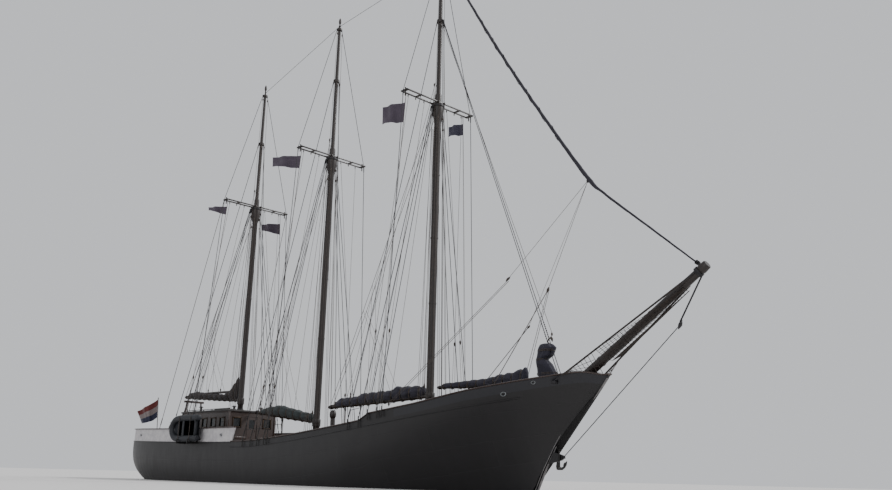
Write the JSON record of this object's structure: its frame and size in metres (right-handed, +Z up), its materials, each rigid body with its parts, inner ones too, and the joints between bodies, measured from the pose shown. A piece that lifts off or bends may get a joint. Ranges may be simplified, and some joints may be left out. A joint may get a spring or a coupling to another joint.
{
  "type": "three-masted schooner, 1:2 scale model",
  "caption": "Sailing ship with a clipper bow, furled gaff sails on swinging booms, pole masts with crosstrees, a netted bowsprit, a raised quarterdeck and a deckhouse.",
  "frame": {"origin": "centreline at the waterline amidships", "axes": "+X towards the bow, +Y to port, +Z up"},
  "size_m": [24.2138, 3.7715, 17.1],
  "materials": {
    "black_paint": "gloss black paint",
    "white_paint": "off-white paint",
    "deck_plank": "oiled planks",
    "rail_wood": "varnished dark wood",
    "spar_paint": "dark brown paint",
    "house_wood": "varnished dark wood",
    "roof_paint": "matt dark grey paint",
    "wire": "tarred wire",
    "sail": "furled sailcloth",
    "cast_iron": "black paint",
    "bronze": "polished",
    "rubber": "matt coated fabric",
    "flag_cloth": "thin cloth",
    "ensign_cloth": "thin cloth",
    "netting": "tarred netting"
  },
  "bodies": {
    "ship": {"hull": "black_paint", "quarterdeck_bulwark": "white_paint", "main_deck": "deck_plank", "quarterdeck": "deck_plank", "main_rail": "rail_wood", "quarterdeck_rail": "rail_wood", "steps_starboard": "rail_wood", "steps_port": "rail_wood", "fore_fife_rail": "rail_wood", "main_fife_rail": "rail_wood", "boom_gallows": "rail_wood", "fore_boom_crutch": "rail_wood", "ensign_staff": "rail_wood", "bowsprit": "spar_paint", "fore_mast": "spar_paint", "main_mast": "spar_paint", "mizzen_mast": "spar_paint", "fore_crosstrees": "spar_paint", "main_crosstrees": "spar_paint", "mizzen_crosstrees": "spar_paint", "staysail_pedestal": "spar_paint", "deckhouse_walls": "house_wood", "trunk_cabin": "house_wood", "helm_pedestal": "house_wood", "deckhouse_roof": "roof_paint", "fore_shrouds": "wire", "main_shrouds": "wire", "mizzen_shrouds": "wire", "inner_forestays": "wire", "triatic_stays": "wire", "bowsprit_guys": "wire", "headstay_jib": "sail", "staysail_bundle": "sail", "windlass_frame": "cast_iron", "anchor": "cast_iron", "tender_brackets": "cast_iron", "tender": "rubber", "fore_flag_starboard": "flag_cloth", "fore_flag_port": "flag_cloth", "main_flag_starboard": "flag_cloth", "mizzen_flag_starboard": "flag_cloth", "mizzen_flag_port": "flag_cloth", "ensign": "ensign_cloth", "bowsprit_net": "netting"},
    "rudder_body": {"rudder": "black_paint"},
    "propeller_body": {"propeller": "bronze"},
    "helm_wheel_body": {"helm_wheel": "rail_wood"},
    "fore_boom_body": {"fore_boom": "spar_paint", "fore_sail": "sail"},
    "main_boom_body": {"main_boom": "spar_paint", "main_sail": "sail"},
    "mizzen_boom_body": {"mizzen_boom": "spar_paint", "mizzen_sail": "sail"},
    "staysail_boom_body": {"staysail_boom": "spar_paint", "staysail_furled": "sail"},
    "deckhouse_door_body": {"deckhouse_door": "house_wood"},
    "hatch_lid_body": {"hatch_lid": "roof_paint"},
    "windlass_drum_body": {"windlass_drum": "cast_iron"}
  },
  "joints": [
    {"name": "fore_boom_swing", "type": "hinge", "parent": "ship", "child": "fore_boom_body", "pos_m": [4.885, 0, 2.4], "axis": [0, 0, 1], "range_deg": [-45, 45]},
    {"name": "main_boom_swing", "type": "hinge", "parent": "ship", "child": "main_boom_body", "pos_m": [-0.085, 0, 1.85], "axis": [0, 0, 1], "range_deg": [-45, 45]},
    {"name": "mizzen_boom_swing", "type": "hinge", "parent": "ship", "child": "mizzen_boom_body", "pos_m": [-4.45, 0, 2.68], "axis": [0, 0, 1], "range_deg": [-45, 45]},
    {"name": "staysail_boom_swing", "type": "hinge", "parent": "ship", "child": "staysail_boom_body", "pos_m": [8.45, 0, 2.5], "axis": [0, 0, 1], "range_deg": [-30, 30]},
    {"name": "deckhouse_door_swing", "type": "hinge", "parent": "ship", "child": "deckhouse_door_body", "pos_m": [-3.6725, -0.173, 1.7], "axis": [0, 0, -1], "range_deg": [0, 100]},
    {"name": "hatch_lid_lift", "type": "hinge", "parent": "ship", "child": "hatch_lid_body", "pos_m": [3.035, 0, 1.76], "axis": [0, 1, 0], "range_deg": [0, 100]},
    {"name": "rudder_turn", "type": "hinge", "parent": "ship", "child": "rudder_body", "pos_m": [-9, 0, -0.9], "axis": [0, 0, 1], "range_deg": [-35, 35]},
    {"name": "helm_wheel_turn", "type": "hinge", "parent": "ship", "child": "helm_wheel_body", "pos_m": [-8.81, 0, 1.81], "axis": [1, 0, 0], "range_deg": [-540, 540]},
    {"name": "propeller_spin", "type": "hinge", "parent": "ship", "child": "propeller_body", "pos_m": [-8.45, 0, -0.99], "axis": [1, 0, 0], "continuous": true},
    {"name": "windlass_spin", "type": "hinge", "parent": "ship", "child": "windlass_drum_body", "pos_m": [7.925, 0, 2.01465], "axis": [0, 1, 0], "continuous": true}
  ],
  "couplings": [
    {"joint": "rudder_turn", "follows": "helm_wheel_turn", "ratio": 0.064815}
  ]
}
